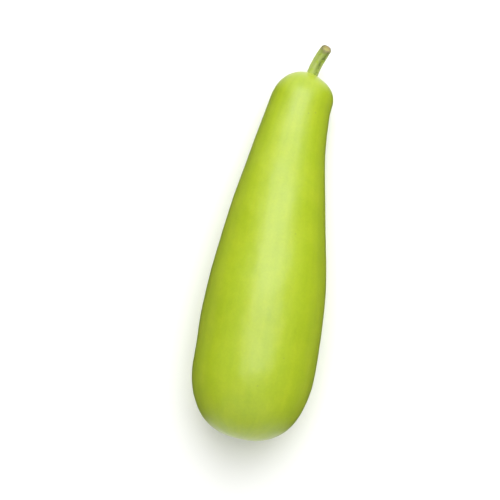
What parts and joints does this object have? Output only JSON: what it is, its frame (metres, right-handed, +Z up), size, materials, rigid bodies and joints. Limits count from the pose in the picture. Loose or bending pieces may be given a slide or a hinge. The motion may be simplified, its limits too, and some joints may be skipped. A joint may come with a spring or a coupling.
{
  "type": "bottle gourd",
  "caption": "Smooth pale green bottle gourd lying on its side: a long fruit with a full round belly, a slimmer neck, a small blossom scar and a short ridged cut stem.",
  "frame": {"origin": "middle of the footprint of the gourd's box, on the surface that it lies on", "axes": "+Y along the gourd from its blossom end to its stem end, +Z up, +X to the side that the stem end bends to"},
  "size_m": [0.0982, 0.3262, 0.0946],
  "materials": {
    "gourd_skin": "satin",
    "gourd_stem": "matte"
  },
  "bodies": {
    "root": {"fruit": "gourd_skin", "stem": "gourd_stem"}
  },
  "joints": []
}
